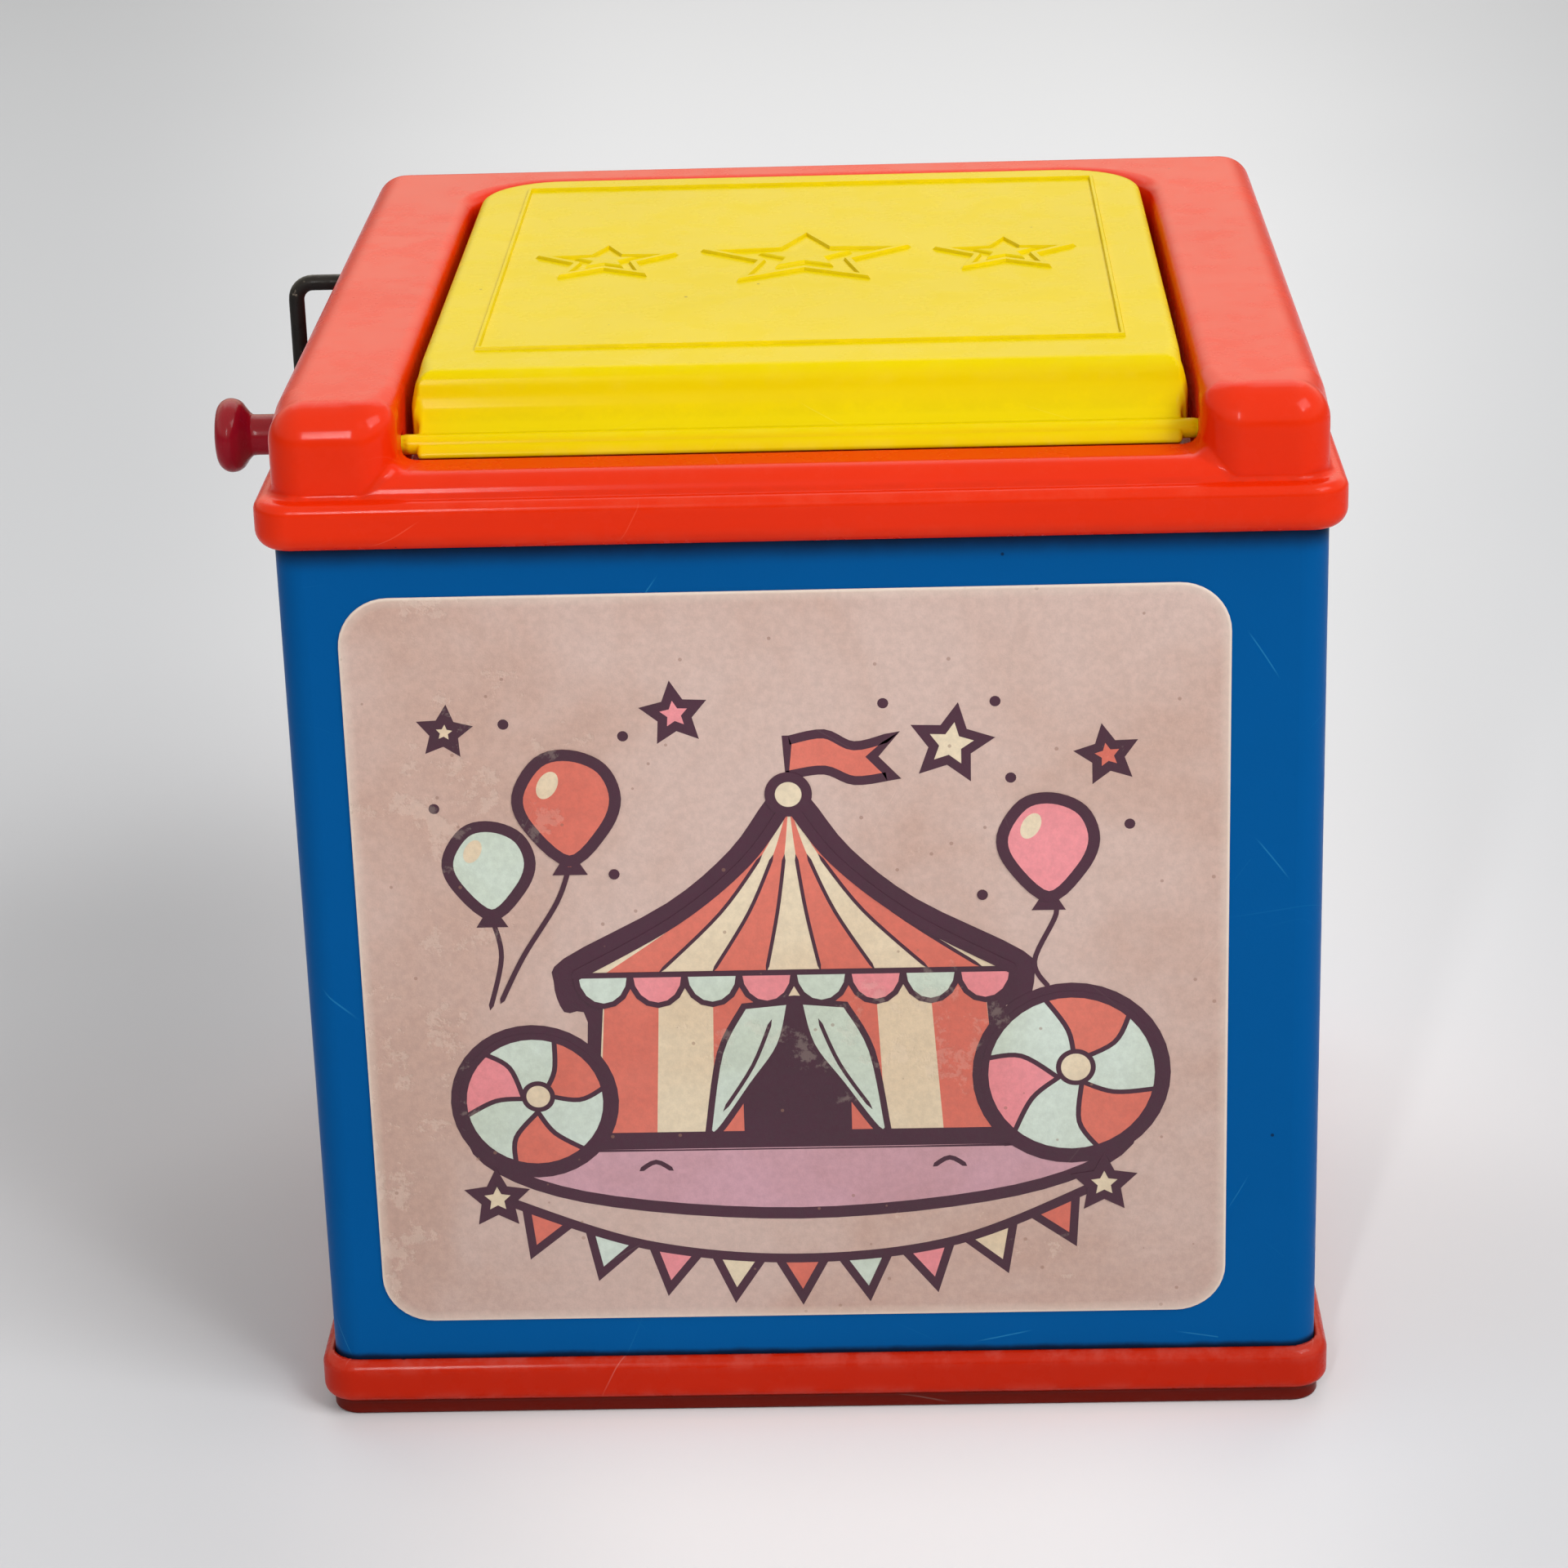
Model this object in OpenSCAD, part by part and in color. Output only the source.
// Jack in the box with a hand-cranked music movement.
// Origin: centre of the base's underside. -Y is the hinge side of the lid, the crank is on -X.

/* [Body] */
// Width and depth of the square body
body_w = 140; // [136:1:156]
// Height of the body shell
shell_h = 132.4; // [130:0.2:150]
// Thickness of the shell's walls
shell_wall = 2; // [1.6:0.1:2.2]
// Radius of the body's upright corners
corner_r = 4; // [3:0.5:6]
// Radius of the four screw bosses
boss_r = 4; // [3.4:0.2:5]
// Height of the four screw bosses
boss_h = 12; // [11:1:20]

/* [Base tray] */
// Thickness of the tray's floor
floor_t = 3.2; // [3:0.1:4]
// Height of the foot below the lip
foot_h = 2.9; // [1:0.1:2.9]
// Height of the lip's top edge
lip_h = 9.4; // [8:0.2:12]
// How far the lip stands out from the body
lip_out = 1.8; // [1.4:0.1:2.4]
// How far the foot is set back under the lip
foot_in = 1.3; // [0.4:0.1:1.6]

/* [Top frame] */
// Height of the skirt round the body's top
skirt_h = 6.5; // [5.5:0.1:9]
// How far the skirt stands out from the body
skirt_out = 2.3; // [1.6:0.1:3]
// Thickness of the ledge over the shell's top edge
ledge_t = 1.5; // [1.2:0.1:1.8]
// Height of the rails above the skirt
rail_h = 11.9; // [11.5:0.1:14]
// Width of the two side rails
rail_w = 17.1; // [16.8:0.1:18]
// Width of the rear rail
rear_rail_w = 11.2; // [10:0.1:13]
// Wall thickness of the rails
rail_wall = 1.8; // [1.5:0.1:2]
// Radius of the rails' outer top edge
rail_round = 4.35; // [3:0.05:5]
// Depth of the low sill in front of the lid
sill_w = 8; // [6:0.1:8.5]
// Height of the sill above the skirt
sill_h = 1.9; // [1:0.1:2.2]
// Thickness of the deck under the lid
deck_t = 2; // [1.8:0.1:2.2]
// Deck left between each rail and the opening under the lid
throat_side_gap = 6.9; // [6:0.1:7.5]
// Deck left between the hinge and the opening
throat_front_gap = 10.5; // [8:0.5:12]
// Deck left between the rear rail and the opening
throat_rear_gap = 8.8; // [8.4:0.1:9]
// Radius of the opening's corners
throat_r = 6; // [3:0.5:10]

/* [Lid] */
// Gap between the lid and each side rail
lid_side_gap = 1.5; // [0.8:0.1:2]
// Gap between the lid and the rear rail
lid_rear_gap = 1; // [0.6:0.1:1.2]
// How far the lid's plain top stands above the rails
lid_proud = 0.6; // [0.2:0.1:1.2]
// Thickness of the lid
lid_t = 1.8; // [1.5:0.1:2]
// Gap between the lid's rim and the deck
lid_lift = 1.4; // [1:0.1:1.8]
// Plan radius of the lid's two rear corners
lid_corner_r = 12; // [8:0.5:14]
// Radius of the lid's front top edge
lid_front_round = 3.5; // [2:0.1:4]
// Height of the raised line and the stars
relief_h = 0.4; // [0.2:0.1:0.6]
// Distance of the hinge from the body's front face
hinge_in = 11.5; // [11:0.1:12]
// Height of the hinge above the deck
hinge_up = 3.2; // [3:0.1:3.6]
// Radius of the hinge barrel
barrel_r = 2.1; // [1.9:0.1:2.4]
// Radius of the hinge trunnions
trunnion_r = 1.5; // [1.2:0.1:1.6]

/* [Labels] */
// Blue margin on each side of a paper label
label_side_gap = 10.5; // [9:0.1:16]
// Blue margin between the label and the tray's lip
label_low_gap = 5.4; // [3:0.1:10]
// Blue margin between the label and the skirt
label_top_gap = 7.5; // [3:0.1:12]
// Sideways set of the front label
label_shift = -2.5; // [-4:0.1:4]
// Thickness of the label
label_t = 0.3; // [0.2:0.1:0.5]
// Corner radius of the label
label_r = 7; // [4:0.5:9]

/* [Crank] */
// Distance of the crank's axle behind the middle
crank_y = 23; // [20:0.5:24]
// Height of the axle above the skirt
crank_up = 5.5; // [5.3:0.1:5.6]
// Distance of the crank's arm from the body's side
crank_out = 8; // [7:0.5:14]
// Length of the arm between axle and pin
crank_throw = 23.8; // [18:0.2:30]
// Diameter of the wire
wire_d = 2.4; // [2:0.1:2.6]
// Radius of the wire's bends, on its centre line
bend_r = 1.6; // [1.5:0.1:2]
// Length of the knob
knob_l = 12; // [10:0.5:16]
// Diameter of the knob's flared end
knob_d = 10; // [9:0.5:13]
// Diameter of the knob's neck
knob_neck_d = 6.6; // [6:0.2:7]

/* [Movement] */
// Module of the gears
gear_m = 0.7; // [0.7:0.01:0.72]
// Teeth of the pinion on the crank
pinion_n = 10; // [10:1:10]
// Teeth of the gear on the drum
gear_n = 50; // [50:1:50]
// Thickness of the movement's plates
plate_t = 1.6; // [1.4:0.1:1.8]
// Radius of the drum under its pins
drum_r = 7; // [6:0.1:7.4]
// Tracks of pins, and teeth of the comb
tracks = 9; // [6:1:9]
// Distance between two tracks
track_w = 1.05; // [1:0.05:1.1]
// Radius of the drum's axle
axle_r = 1.2; // [1:0.1:1.4]
// Radius of the trip cam's nose
cam_r = 8; // [7.4:0.1:8.4]

/* [Latch] */
// Sideways distance of the latch's pivot from the cam
pivot_out = 12.7; // [11:0.1:14]
// Distance of the latch's pivot from the rear rail
pivot_in = 2.8; // [2.6:0.1:3.4]
// Width of the latch's hook
hook_w = 6; // [4:0.5:8]
// Radius of the latch's pin
latch_pin_r = 1.5; // [1.2:0.1:1.7]

/* [Figure] */
// Outer radius of the folded cloth
cloth_r = 36; // [34.5:0.5:36]
// Radius of the spring's coils
coil_r = 27; // [22:0.5:29]
// Radius of the spring's wire
coil_wire_r = 0.9; // [0.7:0.1:1.1]
// Turns of the spring
coil_turns = 5; // [4:1:7]
// Radius of the head
head_r = 25; // [23:0.5:26]
// Radius of the ruffled collar
collar_r = 37; // [34:0.5:38]
// Height of the pointed hat
hat_h = 33; // [28:0.5:33]
// Radius of the hat's bobble
bobble_r = 4; // [3:0.2:4.4]
// Gap between the bobble and the lid
bobble_gap = 2.2; // [1.6:0.1:4]
// Radius of one tuft of hair
hair_r = 5.2; // [4:0.2:6]

/* [Fits] */
// Gap round pieces that are fitted together and stay still
seat_gap = 0.1; // [0.05:0.05:0.2]
// Radial clearance of a shaft in its bearing
run_gap = 0.05; // [0.03:0.01:0.09]
// Gap between soft pieces and their neighbours
soft_gap = 0.3; // [0.3:0.1:0.5]

/* [Hidden] */
$fn = 96;
EPS = 0.01;

// Levels
body_half = body_w / 2;
shell_top_z = floor_t + shell_h;
skirt_top_z = shell_top_z + ledge_t;
skirt_low_z = skirt_top_z - skirt_h;
deck_top_z = shell_top_z + deck_t;
sill_top_z = skirt_top_z + sill_h;
rail_top_z = skirt_top_z + rail_h;
lid_top_z = rail_top_z + lid_proud;
lid_low_z = deck_top_z + lid_lift;

// Well between the rails, and the lid in it
well_half = body_half - rail_w;
well_rear_y = body_half - rear_rail_w;
well_front_y = -body_half + sill_w;
lid_half = well_half - lid_side_gap;
lid_rear_y = well_rear_y - lid_rear_gap;
hinge_y = -body_half + hinge_in;
hinge_z = deck_top_z + hinge_up;
lid_front_y = hinge_y + 0.5;
lid_edge_round = 1.2;
line_w = 0.9;
line_in = 7;
star_r = 15;

// Opening under the lid
throat_half = well_half - throat_side_gap;
throat_front = -hinge_y - throat_front_gap;
throat_rear = well_rear_y - throat_rear_gap;

// Labels
label_w = body_w - 2 * label_side_gap;
label_z = lip_h + label_low_gap;
label_h = skirt_low_z - label_top_gap - label_z;

// Body screws
boss_in = 9;
screw_r = 1.4;
screw_head_r = 3;
screw_head_h = 1.4;
screw_l = 11;
pocket_h = screw_head_h + 0.3;

// Snap ribs of the top frame
snap_w = 14;
snap_h = 2;
snap_z = skirt_low_z + 1.2;
snap_x = 40;
snap_in = 1.1;

// Crank
crank_z = skirt_top_z + crank_up;
arm_x = -(body_half + crank_out);
crank_pin_z = crank_z - crank_throw;
wire_r = wire_d / 2;
knob_x = arm_x - bend_r - 0.1;
pin_end_x = knob_x - knob_l + 1.4;
nut_r = 2.4;
nut_t = 0.8;

// Gears: thinned teeth and a slightly long centre distance keep the running clearance
gear_spread = 0.2;
pinion_pitch_r = gear_m * pinion_n / 2;
gear_pitch_r = gear_m * gear_n / 2;
drum_z = crank_z - pinion_pitch_r - gear_pitch_r - gear_spread;
tooth_add = 0.85 * gear_m;
tooth_ded = 1.25 * gear_m;
tooth_thin = 0.4;
pressure = 20;

// Movement, from the left wall inwards
shell_in_x = -body_half + shell_wall;
standoff = 1.6;
plate1_x = shell_in_x + standoff;
plate2_x = -body_half + 12.8;
gear_x = plate2_x - 4.8;
gear_t = 3;
pinion_t = 4;
drum_x = plate2_x + plate_t + 0.6;
drum_l = tracks * track_w + 1.2;
cam_x = drum_x + drum_l + 0.8;
cam_t = 1.7;
plate3_x = cam_x + cam_t + 1.1;
move_low_z = drum_z - gear_pitch_r - 3.4;
move_y0 = crank_y - 10;
move_y1 = crank_y + 25;
pin_h = 0.6;
pin_r = 0.3;
comb_gap = 0.35;
comb_tip_y = crank_y + drum_r + pin_h + comb_gap;
comb_y = comb_tip_y + 9;
comb_t = 0.8;
comb_z = drum_z - comb_t / 2;
clamp_t = 2;
crank_end_x = -well_half - rail_wall - 0.6;
ear_r = 4.2;
plate_margin = 5;
screw_land = 6;
mid_plate_cut = 8;
end_plate_reach = 7;
cam_hub_r = 5;
cam_root = cam_hub_r - 0.4;
cam_nose = 1.2;
small_screw_r = 1;
small_head_r = 1.9;
small_head_h = 1.1;
move_screws = [[move_y0 + 4, move_low_z + 5], [move_y1 - 4, move_low_z + 5],
               [move_y1 - 4, drum_z + 2]];

// Latch
lever_t = 2;
lever_z = shell_top_z - 5.2;
hook_y = throat_rear + 1.2;
post_t = 2;
tab_in = 1.5;
tab_h = 1.5;
tab_z = lid_low_z + 1;
nose_z = tab_z + tab_h + 0.3;
nose_h = 1.6;
lid_inner_rear_y = lid_rear_y - lid_t;
nose_y = lid_inner_rear_y - tab_in - 0.7;
finger_x = cam_x + cam_t / 2;
finger_y = crank_y + cam_r + 1.9;
finger_low_z = drum_z - 2;
pivot_x = finger_x + pivot_out;
pivot_y = well_rear_y - pivot_in;
lever_w = 5;
latch_pin_top_z = shell_top_z + 0.6;
spring_t = 0.4;
spring_h = 1.8;
spring_root = [-throat_half - 3.5, throat_rear];
tail_ang = atan2(finger_y - pivot_y, finger_x - pivot_x);
spring_tip = [pivot_x + 14 * cos(tail_ang) + (lever_w / 2 + 0.45) * sin(tail_ang),
              pivot_y + 14 * sin(tail_ang) - (lever_w / 2 + 0.45) * cos(tail_ang)];

// Figure, folded under the lid
seat_r = 37;
seat_t = 1.2;
seat_z = floor_t;
seat_top_z = seat_z + seat_t;
cloth_t = 2.6;
collar_h = 5.4;
neck_t = 1.5;
neck_plate_r = 32;
neck_r = 9;
bobble_top_z = lid_top_z - lid_t - bobble_gap;
bobble_z = bobble_top_z - bobble_r;
hat_z = bobble_z - 0.55 * bobble_r - hat_h;
hat_r = 0.84 * head_r;
hat_tip_r = 1.6;
hat_t = 0.9;
head_z = hat_z - 0.64 * head_r;
collar_z = head_z - head_r - 0.2 - collar_h;
neck_z = collar_z - 0.05 - neck_t;
coil_low_z = seat_top_z + coil_wire_r + 0.05;
coil_top_z = neck_z - 0.1 - coil_wire_r;
seat_ring_w = 18;
nose_r = 4;
sleeve_x = cloth_r + soft_gap + 3.6;
sleeve_r = 3.6;
sleeve_l = 30;
sleeve_top_z = collar_z - soft_gap;
hand_r = 4.2;
staple_r = 0.6;

// ---------- shared shapes ----------

// Flat outline with four round corners
module round_square(w, d, r) {
    square([w - 2 * r, d], center = true);
    square([w, d - 2 * r], center = true);
    for (x = [-1, 1], y = [-1, 1])
        translate([x * (w / 2 - r), y * (d / 2 - r)]) circle(r);
}

// Outline with round corners at the rear only: half width, front edge, rear edge, radius
module tray_outline(half, front, rear, r) {
    translate([-half, front]) square([2 * half, rear - r - front]);
    translate([-half + r, front]) square([2 * (half - r), rear - front]);
    for (x = [-1, 1]) translate([x * (half - r), rear - r]) circle(r);
}

// Side view of a block from z = 0 whose two top corners are round
module arch(low, high, top, r_low, r_high) {
    translate([low, 0]) square([high - low, top - max(r_low, r_high)]);
    translate([low + r_low, 0]) square([high - low - r_low - r_high, top]);
    translate([low, 0]) square([r_low + EPS, top - r_low]);
    translate([high - r_high - EPS, 0]) square([r_high + EPS, top - r_high]);
    translate([low + r_low, top - r_low]) circle(r_low);
    translate([high - r_high, top - r_high]) circle(r_high);
}

// Block of the rails' outer shape, shrunk by inset on the sides and the top
module rail_block(inset) {
    half = body_half - inset;
    top = rail_top_z - inset;
    r = rail_round - inset;
    intersection() {
        linear_extrude(top) round_square(2 * half, 2 * half, corner_r + 1 - inset / 2);
        rotate([90, 0, 0]) linear_extrude(2 * body_w, center = true) arch(-half, half, top, r, r);
        rotate([90, 0, 90]) linear_extrude(2 * body_w, center = true) arch(-half, half, top, r, r);
    }
}

// Cylinder along +X from x to x + l
module bar_x(x, y, z, r, l) {
    translate([x, y, z]) rotate([0, 90, 0]) cylinder(r = r, h = l);
}

// Quarter turn of the wire in the X-Z plane, round the point (x, z), from the angle start
module wire_bend(x, z, start) {
    translate([x, crank_y, z]) rotate([90, 0, 0]) rotate([0, 0, start])
        rotate_extrude(angle = 90) translate([bend_r, 0]) circle(wire_r);
}

// Outline of a flat arm from point a to point b, with a round end at b
module arm_outline(a, b, w) {
    d = b - a;
    translate(b) circle(w / 2);
    translate(a) rotate(atan2(d[1], d[0])) translate([0, -0.4 * w]) square([norm(d), 0.8 * w]);
}

// Outline of a five-pointed star
function star_points(r) = [for (i = [0:9]) let (q = i % 2 == 0 ? r : 0.45 * r, a = 90 + 36 * i)
                           [q * cos(a), q * sin(a)]];

// Involute gear outline: n teeth, half-angle of each tooth from tooth_thin
function inv(a) = tan(a) * 180 / PI - a;
function flank_angle(n, r) =
    let (rp = gear_m * n / 2, rb = rp * cos(pressure), q = max(r, rb))
    tooth_thin * 180 / n + inv(pressure) - inv(acos(rb / q));
function tooth_radii(n) =
    let (rp = gear_m * n / 2)
    [rp - tooth_ded, rp - 0.3 * tooth_ded, rp, rp + 0.55 * tooth_add, rp + tooth_add];
function gear_points(n) = [
    for (i = [0:n - 1], side = [-1, 1])
        let (radii = tooth_radii(n))
        for (k = side < 0 ? [0:4] : [4:-1:0])
            let (a = 360 / n * i + side * flank_angle(n, radii[k]))
            [radii[k] * cos(a), radii[k] * sin(a)]];

// Gear in the Y-Z plane whose tooth 0, or a gap, points to +Z
module spur(n, x, z, t, turn, bore) {
    translate([x, crank_y, z]) rotate([90, 0, 90]) difference() {
        rotate([0, 0, 90 + turn]) linear_extrude(t) polygon(gear_points(n));
        translate([0, 0, -1]) cylinder(r = bore, h = t + 2);
    }
}

// ---------- box ----------

module base_tray() {
    half = body_half + lip_out;
    color("firebrick") difference() {
        union() {
            linear_extrude(floor_t) round_square(2 * (half - foot_in), 2 * (half - foot_in), corner_r);
            translate([0, 0, foot_h])
                linear_extrude(lip_h - foot_h) round_square(2 * half, 2 * half, corner_r + 1);
        }
        translate([0, 0, floor_t]) linear_extrude(lip_h)
            round_square(body_w + 2 * seat_gap, body_w + 2 * seat_gap, corner_r);
        for (x = [-1, 1], y = [-1, 1]) translate([x, y, 0] * (body_half - boss_in)) {
            translate([0, 0, -1]) cylinder(r = screw_head_r + 0.3, h = pocket_h + 1);
            translate([0, 0, -1]) cylinder(r = screw_r + seat_gap, h = floor_t + 2);
        }
    }
}

module base_screws() {
    color("silver") for (x = [-1, 1], y = [-1, 1])
        translate([x * (body_half - boss_in), y * (body_half - boss_in), pocket_h]) {
            translate([0, 0, -screw_head_h]) cylinder(r = screw_head_r, h = screw_head_h);
            cylinder(r = screw_r, h = screw_l);
        }
}

module body_shell() {
    inner = body_w - 2 * shell_wall;
    color("teal") difference() {
        union() {
            translate([0, 0, floor_t]) difference() {
                linear_extrude(shell_h) round_square(body_w, body_w, corner_r);
                translate([0, 0, -1]) linear_extrude(shell_h + 2)
                    round_square(inner, inner, corner_r - shell_wall / 2);
            }
            for (x = [-1, 1], y = [-1, 1]) {
                c = body_half - boss_in;
                translate([x * c, y * c, floor_t]) {
                    cylinder(r = boss_r, h = boss_h);
                    translate([x > 0 ? 0 : -boss_in + shell_wall / 2, -0.8, 0])
                        cube([boss_in - shell_wall / 2, 1.6, boss_h]);
                }
            }
            for (p = move_screws)
                bar_x(-body_half + shell_wall / 2, p[0], p[1], 3, shell_wall / 2 + standoff);
        }
        for (x = [-1, 1], y = [-1, 1])
            translate([x * (body_half - boss_in), y * (body_half - boss_in), floor_t - 1])
                cylinder(r = screw_r + seat_gap, h = boss_h);
        for (p = move_screws)
            bar_x(shell_in_x - 1.2, p[0], p[1], small_screw_r + seat_gap, standoff + 1.3);
        for (a = [0:90:270], s = [-1, 1]) rotate([0, 0, a])
            translate([s * snap_x - snap_w / 2 - 0.3, body_half - shell_wall - 1, snap_z - 0.3])
                cube([snap_w + 0.6, shell_wall + 2, snap_h + 0.6]);
    }
}

module top_frame() {
    skirt_w = 2 * (body_half + skirt_out);
    well_r = lid_corner_r + lid_rear_gap;
    color("orangered") difference() {
        union() {
            difference() {
                union() {
                    rail_block(0);
                    translate([0, 0, skirt_low_z]) linear_extrude(skirt_h)
                        round_square(skirt_w, skirt_w, corner_r + 1);
                }
                // seat on the shell's top edge
                translate([0, 0, -1]) linear_extrude(shell_top_z + 1)
                    round_square(body_w + 2 * seat_gap, body_w + 2 * seat_gap, corner_r);
                // hollow of the rails, open below
                difference() {
                    rail_block(rail_wall);
                    linear_extrude(rail_top_z + 1)
                        tray_outline(well_half + rail_wall, -body_w, well_rear_y + rail_wall,
                                     well_r + rail_wall);
                }
                // well for the lid, and the way over the sill
                translate([0, 0, deck_top_z]) linear_extrude(rail_top_z)
                    tray_outline(well_half, well_front_y, well_rear_y, well_r);
                translate([-well_half, -body_w, sill_top_z])
                    cube([2 * well_half, body_w, rail_top_z]);
            }
            for (a = [0:90:270], s = [-1, 1]) rotate([0, 0, a])
                translate([s * snap_x - snap_w / 2, body_half - snap_in, snap_z])
                    cube([snap_w, snap_in + seat_gap + 0.5, snap_h]);
            // bosses under the deck for the latch's pin and spring
            translate([pivot_x, pivot_y, lever_z + lever_t + 0.3])
                cylinder(r = latch_pin_r + 1.6, h = shell_top_z - lever_z - lever_t);
            translate([spring_root[0], spring_root[1], lever_z])
                cylinder(r = 2.4, h = shell_top_z - lever_z + 1);
        }
        translate([0, (throat_rear - throat_front) / 2, shell_top_z - 1])
            linear_extrude(deck_t + 2)
                round_square(2 * throat_half, throat_front + throat_rear, throat_r);
        translate([-hook_w / 2 - 2, throat_rear - 3, shell_top_z - 1])
            cube([hook_w + 4, lid_inner_rear_y - throat_rear + 3, deck_t + 2]);
        bar_x(-well_half - rail_wall - 1, hinge_y, hinge_z, trunnion_r + run_gap,
              2 * (well_half + rail_wall + 1));
        bar_x(-body_half - 1, crank_y, crank_z, wire_r + run_gap, rail_wall + 2);
        translate([pivot_x, pivot_y, lever_z])
            cylinder(r = latch_pin_r + seat_gap, h = latch_pin_top_z + 0.2 - lever_z);
        latch_leaf(spring_h + 0.4, spring_t + 2 * seat_gap);
    }
}

// Lid's outer shape, shrunk by inset
module lid_block(inset) {
    half = lid_half - inset;
    top = lid_top_z - inset;
    side_r = lid_edge_round + 0.3;
    intersection() {
        linear_extrude(top) tray_outline(half, lid_front_y + inset, lid_rear_y - inset,
                                         lid_corner_r - inset);
        rotate([90, 0, 0]) linear_extrude(2 * body_w, center = true)
            arch(-half, half, top, side_r, side_r);
        rotate([90, 0, 90]) linear_extrude(2 * body_w, center = true)
            arch(lid_front_y + inset, lid_rear_y - inset, top, lid_front_round - inset / 2, side_r);
    }
}

// Raised line round the lid's top and a row of three stars
module lid_relief() {
    w = 2 * (lid_half - line_in);
    front = lid_front_y + 2 * line_in;
    rear = lid_rear_y - line_in;
    translate([0, 0, lid_top_z - 0.5]) linear_extrude(0.5 + relief_h) {
        difference() {
            translate([-w / 2, front]) square([w, rear - front]);
            translate([-w / 2 + line_w, front + line_w])
                square([w - 2 * line_w, rear - front - 2 * line_w]);
        }
        for (i = [-1:1]) translate([i * 1.75 * star_r, (front + rear) / 2])
            polygon(star_points(i == 0 ? 1.25 * star_r : 0.8 * star_r));
    }
}

module lid() {
    color("gold") {
        difference() {
            lid_block(0);
            translate([-body_w, -body_w, -1]) cube([2 * body_w, 2 * body_w, lid_low_z + 1]);
            lid_block(lid_t);
        }
        lid_relief();
        bar_x(-lid_half + 0.7, hinge_y, hinge_z, barrel_r, 2 * lid_half - 1.4);
        bar_x(-well_half - 1.1, hinge_y, hinge_z, trunnion_r, 2 * (well_half + 1.1));
        translate([-hook_w / 2 - 1, lid_inner_rear_y - tab_in, tab_z])
            cube([hook_w + 2, tab_in + lid_t / 2, tab_h]);
    }
}

// Label on the wall that faces the angle a, moved sideways by shift
module wall_label(a, shift) {
    color("bisque") rotate([0, 0, a]) translate([shift, -body_half, label_z + label_h / 2])
        rotate([90, 0, 0]) linear_extrude(label_t) round_square(label_w, label_h, label_r);
}
module label_front() { wall_label(0, label_shift); }
module label_right() { wall_label(90, 0); }
module label_rear() { wall_label(180, 0); }
module label_left() { wall_label(270, 0); }

// ---------- crank ----------

module crank_wire() {
    color("dimgray") {
        bar_x(arm_x + bend_r, crank_y, crank_z, wire_r, crank_end_x - arm_x - bend_r);
        wire_bend(arm_x + bend_r, crank_z - bend_r, 90);
        translate([arm_x, crank_y, crank_pin_z + bend_r])
            cylinder(r = wire_r, h = crank_throw - 2 * bend_r);
        wire_bend(arm_x - bend_r, crank_pin_z + bend_r, 270);
        bar_x(pin_end_x, crank_y, crank_pin_z, wire_r, arm_x - bend_r - pin_end_x);
    }
}

module crank_knob() {
    l = knob_l;
    neck = knob_neck_d / 2;
    flare = knob_d / 2;
    color("crimson") translate([knob_x, crank_y, crank_pin_z]) rotate([0, -90, 0])
        rotate_extrude() difference() {
            union() {
                square([neck, 0.45 * l]);
                polygon([[0, 0.44 * l], [neck, 0.44 * l], [flare, 0.72 * l], [flare, 0.88 * l],
                         [flare - 1.2, l], [0, l]]);
            }
            translate([0, -1]) square([wire_r + run_gap, l + 2]);
            translate([0, l - 1.4 - nut_t - 0.2]) square([nut_r + 0.3, l]);
        }
}

module knob_nut() {
    color("silver") difference() {
        bar_x(pin_end_x + 0.1, crank_y, crank_pin_z, nut_r, nut_t);
        bar_x(pin_end_x - 1, crank_y, crank_pin_z, wire_r + EPS, nut_t + 2);
    }
}

module crank_pinion() {
    color("white") spur(pinion_n, gear_x - 0.5, crank_z, pinion_t, 180 / pinion_n, wire_r + EPS);
}

// ---------- music movement ----------

// Plate in the Y-Z plane with bearings for the crank's axle, if tall, and the drum's axle
module side_plate(x, y0, y1, tall) {
    translate([x, 0, 0]) rotate([90, 0, 90]) linear_extrude(plate_t) difference() {
        union() {
            translate([y0, move_low_z]) square([y1 - y0, drum_z + plate_margin - move_low_z]);
            if (tall) {
                translate([crank_y - ear_r, drum_z]) square([2 * ear_r, crank_z - drum_z]);
                translate([crank_y, crank_z]) circle(ear_r);
            }
        }
        translate([crank_y, drum_z]) circle(axle_r + run_gap);
        if (tall) translate([crank_y, crank_z]) circle(wire_r + run_gap);
        if (x == plate1_x) for (p = move_screws) translate(p) circle(small_screw_r + seat_gap);
    }
}

module movement_frame() {
    color("lightgray") difference() {
        union() {
            side_plate(plate1_x, move_y0 - screw_land, move_y1, true);
            side_plate(plate2_x, move_y0, move_y1 - mid_plate_cut, true);
            side_plate(plate3_x, move_y0, crank_y + end_plate_reach, false);
            translate([plate1_x, move_y0, move_low_z])
                cube([plate3_x + plate_t - plate1_x, move_y1 - move_y0, 2]);
            translate([drum_x, comb_y, move_low_z])
                cube([drum_l, move_y1 - comb_y, comb_z - move_low_z]);
        }
        comb_holes(comb_z - plate_margin, plate_margin + 1, small_screw_r + seat_gap);
    }
}

// Two upright cylinders at the places of the comb's screws
module comb_holes(z, h, r) {
    for (s = [0.25, 0.75]) translate([drum_x + s * drum_l, (comb_y + move_y1) / 2, z])
        cylinder(r = r, h = h);
}

module movement_screws() {
    color("silver") for (p = move_screws) {
        bar_x(shell_in_x - 0.9, p[0], p[1], small_screw_r, standoff + plate_t + 1);
        bar_x(plate1_x + plate_t, p[0], p[1], small_head_r, small_head_h);
    }
}

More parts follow.
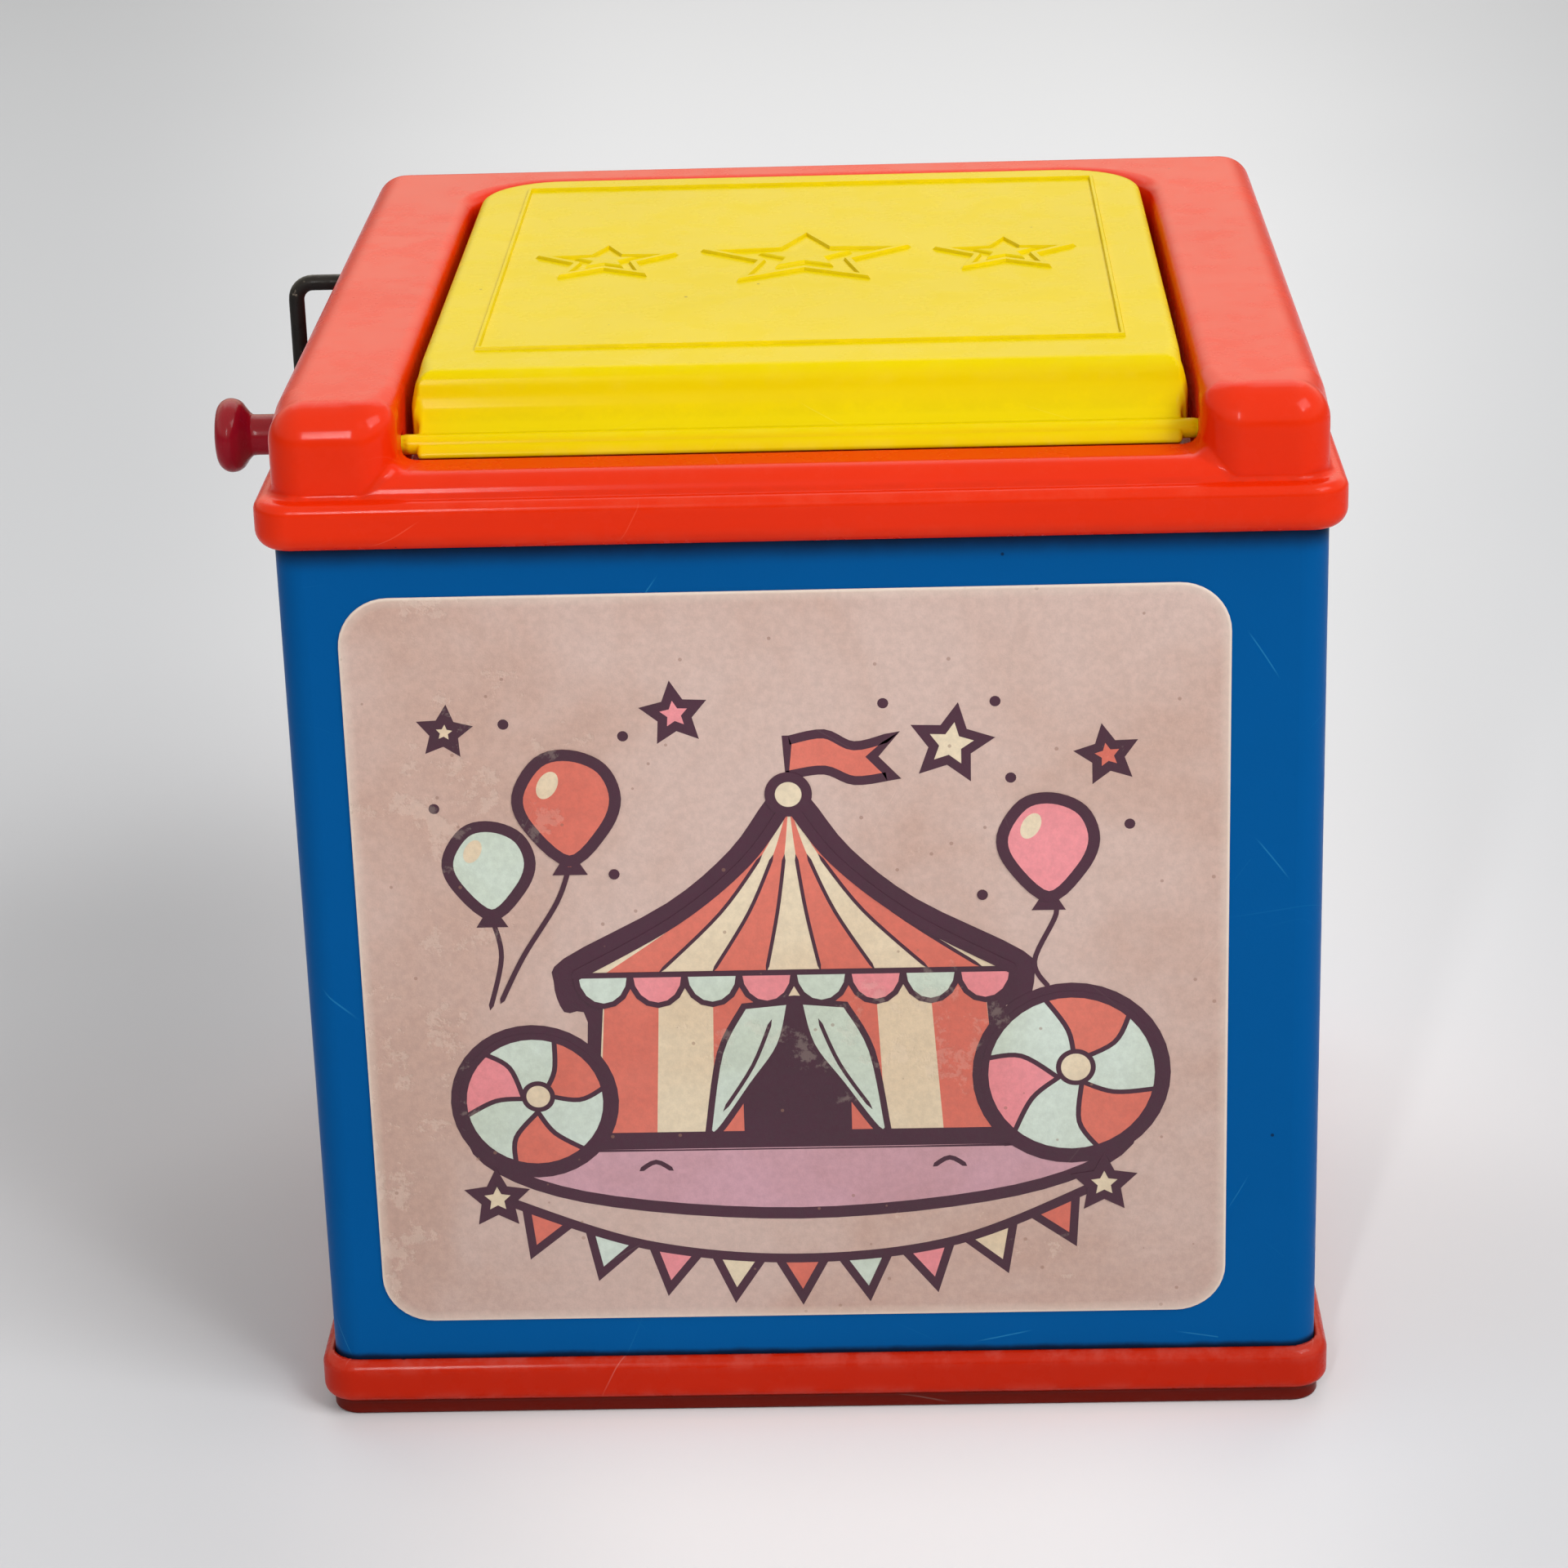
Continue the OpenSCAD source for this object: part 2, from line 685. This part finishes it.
module drum_gear() {
    color("white") spur(gear_n, gear_x, drum_z, gear_t, 0, axle_r + EPS);
}

module pin_drum() {
    color("ivory") difference() {
        union() {
            bar_x(drum_x, crank_y, drum_z, drum_r, drum_l);
            for (i = [0:tracks - 1], k = [0:3])
                translate([drum_x + 0.6 + (i + 0.5) * track_w, crank_y, drum_z])
                    rotate([90 * k + 47 * i + 13 * ((i * k) % 3), 0, 0]) translate([0, 0, drum_r - 1])
                        cylinder(r = pin_r, h = 1 + pin_h, $fn = 24);
        }
        bar_x(drum_x - 1, crank_y, drum_z, axle_r + EPS, drum_l + 2);
    }
}

module drum_axle() {
    color("silver") bar_x(plate1_x - 0.6, crank_y, drum_z, axle_r, plate3_x + plate_t - plate1_x + 1);
}

module trip_cam() {
    color("ivory") translate([cam_x, crank_y, drum_z]) rotate([90, 0, 90]) difference() {
        union() {
            cylinder(r = cam_hub_r, h = cam_t);
            linear_extrude(cam_t) polygon([[-cam_root, 0], [-cam_nose, cam_r], [cam_nose, cam_r],
                                             [cam_root, 0]]);
        }
        translate([0, 0, -1]) cylinder(r = axle_r + EPS, h = cam_t + 2);
    }
}

module comb() {
    color("silver") difference() {
        translate([0, 0, comb_z]) linear_extrude(comb_t) {
            translate([drum_x, comb_y]) square([drum_l, move_y1 - comb_y]);
            for (i = [0:tracks - 1])
                translate([drum_x + 0.6 + i * track_w + 0.15, comb_tip_y])
                    square([track_w - 0.3, comb_y - comb_tip_y + EPS]);
        }
        comb_holes(comb_z - 1, 4, small_screw_r + seat_gap);
    }
}

module comb_clamp() {
    color("goldenrod") difference() {
        translate([drum_x + 0.5, comb_y + 0.6, comb_z + comb_t])
            cube([drum_l - 1, move_y1 - comb_y - 1.2, clamp_t]);
        comb_holes(comb_z, clamp_t + 4, small_screw_r + seat_gap);
    }
}

module comb_screws() {
    top = comb_z + comb_t + clamp_t;
    color("silver") {
        comb_holes(comb_z - 4.5, top - comb_z + 4.5, small_screw_r);
        comb_holes(top, small_head_h, small_head_r);
    }
}

// ---------- latch ----------

module latch_lever() {
    pivot = [pivot_x, pivot_y];
    color("lightgray") difference() {
        union() {
            translate([0, 0, lever_z]) linear_extrude(lever_t) {
                translate(pivot) circle(lever_w / 2 + 0.8);
                arm_outline(pivot, [0, hook_y], lever_w);
                arm_outline(pivot, [finger_x, finger_y + 1], lever_w);
            }
            translate([-hook_w / 2, hook_y - post_t / 2, lever_z + 0.5])
                rotate([90, 0, 90]) linear_extrude(hook_w)
                    polygon([[0, 0], [post_t, 0], [post_t, nose_z - lever_z - 0.5],
                             [nose_y - hook_y + post_t / 2, nose_z - lever_z - 0.5],
                             [nose_y - hook_y + post_t / 2, nose_z + nose_h - lever_z - 0.5],
                             [0, nose_z + nose_h - lever_z - 0.5]]);
            translate([finger_x - 1, finger_y, finger_low_z])
                cube([2, 2, lever_z + 1 - finger_low_z]);
        }
        translate([pivot_x, pivot_y, lever_z - 1]) cylinder(r = latch_pin_r + run_gap, h = lever_t + 2);
    }
}

module latch_pin() {
    color("silver") translate([pivot_x, pivot_y, 0]) {
        translate([0, 0, lever_z - 0.3])
            cylinder(r = latch_pin_r, h = latch_pin_top_z - lever_z + 0.3);
        translate([0, 0, lever_z - 1.3]) cylinder(r = latch_pin_r + 1.2, h = 1);
    }
}

// Leaf from its boss to just short of the lever's tail
module latch_leaf(h, t) {
    d = spring_tip - spring_root;
    translate([spring_root[0], spring_root[1], lever_z + (lever_t - h) / 2])
        rotate([0, 0, atan2(d[1], d[0])]) translate([-1.6, -t / 2, 0]) cube([norm(d) + 1.6, t, h]);
}
module latch_spring() { color("silver") latch_leaf(spring_h, spring_t); }

// ---------- figure: faces +Y, away from the lid's hinge ----------

module spring_seat() {
    color("tan") translate([0, 0, seat_z]) difference() {
        cylinder(r = seat_r, h = seat_t);
        translate([0, 0, -1]) cylinder(r = seat_r - seat_ring_w, h = seat_t + 2);
    }
}

// Bridges over the spring's lowest coil, which lies flat as far as coil_end of a turn
module seat_staples() {
    over = 2 * coil_wire_r + 0.5;
    color("silver") for (a = [30:75:255]) rotate([0, 0, a]) {
        for (s = [-1, 1]) translate([coil_r + s * (coil_wire_r + 1), 0, seat_top_z])
            cylinder(r = staple_r, h = over + staple_r);
        translate([coil_r - coil_wire_r - 1, 0, seat_top_z + over + staple_r])
            rotate([0, 90, 0]) cylinder(r = staple_r, h = 2 * coil_wire_r + 2);
    }
}

// Coil: flat end turns and a rising middle, swept as one closed tube
COIL_STEP = 12;
COIL_SIDES = 8;
coil_end = 0.75;
function coil_rise(t) = t < coil_end ? 0
    : t > coil_turns - coil_end ? 1
    : (t - coil_end) / (coil_turns - 2 * coil_end);
function coil_point(i, j) =
    let (a = i * COIL_STEP, b = j * 360 / COIL_SIDES, r = coil_r + coil_wire_r * cos(b))
    [r * cos(a), r * sin(a),
     coil_low_z + coil_rise(a / 360) * (coil_top_z - coil_low_z) + coil_wire_r * sin(b)];
module jack_spring() {
    rings = coil_turns * 360 / COIL_STEP;
    points = [for (i = [0:rings], j = [0:COIL_SIDES - 1]) coil_point(i, j)];
    sides = [for (i = [0:rings - 1], j = [0:COIL_SIDES - 1])
             let (k = (j + 1) % COIL_SIDES, a = i * COIL_SIDES, b = a + COIL_SIDES)
             [a + j, a + k, b + k, b + j]];
    first = [for (j = [COIL_SIDES - 1:-1:0]) j];
    last = [for (j = [0:COIL_SIDES - 1]) rings * COIL_SIDES + j];
    color("gray") polyhedron(points, concat([first, last], sides));
}

// Cloth sleeve of the spring, pushed down into folds
module jack_garment() {
    low = seat_top_z + 0.1;
    high = neck_z + neck_t - 0.2;
    folds = 6;
    pitch = (high - low) / folds;
    color("mediumpurple") rotate_extrude() {
        translate([cloth_r - cloth_t - 0.6, low]) square([cloth_t - 1, high - low]);
        for (i = [0:folds - 1]) translate([cloth_r - cloth_t - 0.6, low + i * pitch])
            polygon([[0, 0.08 * pitch], [cloth_t - 1, 0], [cloth_t + 0.6, 0.35 * pitch],
                     [cloth_t + 0.6, 0.65 * pitch], [cloth_t - 1, pitch], [0, 0.92 * pitch]]);
    }
}

module neck_plate() {
    color("tan") translate([0, 0, neck_z]) cylinder(r = neck_plate_r, h = neck_t);
}

module collar() {
    points = 24;
    color("white") translate([0, 0, collar_z]) difference() {
        intersection() {
            cylinder(r = collar_r, h = collar_h);
            union() {
                cylinder(r = collar_r - 3, h = collar_h);
                for (i = [0:points - 1]) rotate([0, 0, i * 360 / points])
                    translate([collar_r - 3.4, 0, 0]) cylinder(r = 3.4, h = collar_h);
            }
        }
        translate([0, 0, -1]) cylinder(r = neck_r + soft_gap, h = collar_h + 2);
    }
}

module sleeves() {
    color("gold") for (s = [-1, 1]) translate([s * sleeve_x, 0, sleeve_top_z - sleeve_l])
        intersection() {
            cylinder(r1 = sleeve_r, r2 = sleeve_r - 0.6, h = sleeve_l);
            union() {
                cylinder(r = sleeve_r + 1, h = sleeve_l - sleeve_r);
                translate([0, 0, sleeve_l - sleeve_r]) sphere(sleeve_r);
            }
        }
}

module hands() {
    color("white") for (s = [-1, 1])
        translate([s * sleeve_x, 0, sleeve_top_z - sleeve_l - 0.6 * hand_r]) intersection() {
            sphere(hand_r);
            translate([-sleeve_r, -hand_r, -hand_r]) cube([2 * sleeve_r, 2 * hand_r, 1.5 * hand_r]);
        }
}

module head() {
    color("peachpuff") difference() {
        union() {
            translate([0, 0, head_z]) sphere(head_r);
            translate([0, 0, neck_z + neck_t]) cylinder(r = neck_r, h = head_z - head_r / 2 - neck_z);
            for (s = [-1, 1]) translate([s * (head_r - 0.6), 0, head_z - 1]) sphere(4);
        }
        translate([0, 0, head_z]) sphere(head_r - 2);
    }
}

module nose() {
    color("red") translate([0, head_r, head_z]) rotate([-90, 0, 0]) rotate_extrude() intersection() {
        translate([0, 0.55 * nose_r]) circle(nose_r);
        square([nose_r, 2 * nose_r]);
    }
}

module hair() {
    color("darkorange") difference() {
        for (s = [-1, 1], k = [0:2]) rotate([0, 0, -16 * s])
            translate([s * (head_r + 1 - 0.4 * k), -4 - 1.5 * k, head_z + 4 - 0.85 * hair_r * k])
                sphere(hair_r);
        translate([0, 0, head_z]) sphere(head_r);
        translate([-body_w, -body_w, hat_z - soft_gap])
            cube([2 * body_w, 2 * body_w, 4 * hair_r]);
    }
}

module hat() {
    inner = hat_r - hat_t;
    color("royalblue") translate([0, 0, hat_z]) rotate_extrude() difference() {
        union() {
            polygon([[0, 0], [hat_r, 0], [hat_tip_r, hat_h], [0, hat_h]]);
            square([hat_r + 0.8, 3.4]);
        }
        polygon([[-1, -1], [inner + 0.6, -1], [inner - 0.6, 2], [0.6, hat_h - 3], [-1, hat_h - 3]]);
        translate([0, head_z - hat_z]) circle(head_r + EPS);
    }
}

module hat_bobble() {
    color("white") difference() {
        translate([0, 0, bobble_z]) sphere(bobble_r);
        translate([0, 0, hat_z]) cylinder(r1 = hat_r + EPS, r2 = hat_tip_r + EPS, h = hat_h + EPS);
    }
}

base_tray();
base_screws();
body_shell();
top_frame();
lid();
label_front();
label_rear();
label_left();
label_right();
crank_wire();
crank_knob();
knob_nut();
crank_pinion();
movement_frame();
movement_screws();
drum_gear();
pin_drum();
drum_axle();
trip_cam();
comb();
comb_clamp();
comb_screws();
latch_lever();
latch_pin();
latch_spring();
spring_seat();
seat_staples();
jack_spring();
jack_garment();
neck_plate();
collar();
sleeves();
hands();
head();
nose();
hair();
hat();
hat_bobble();
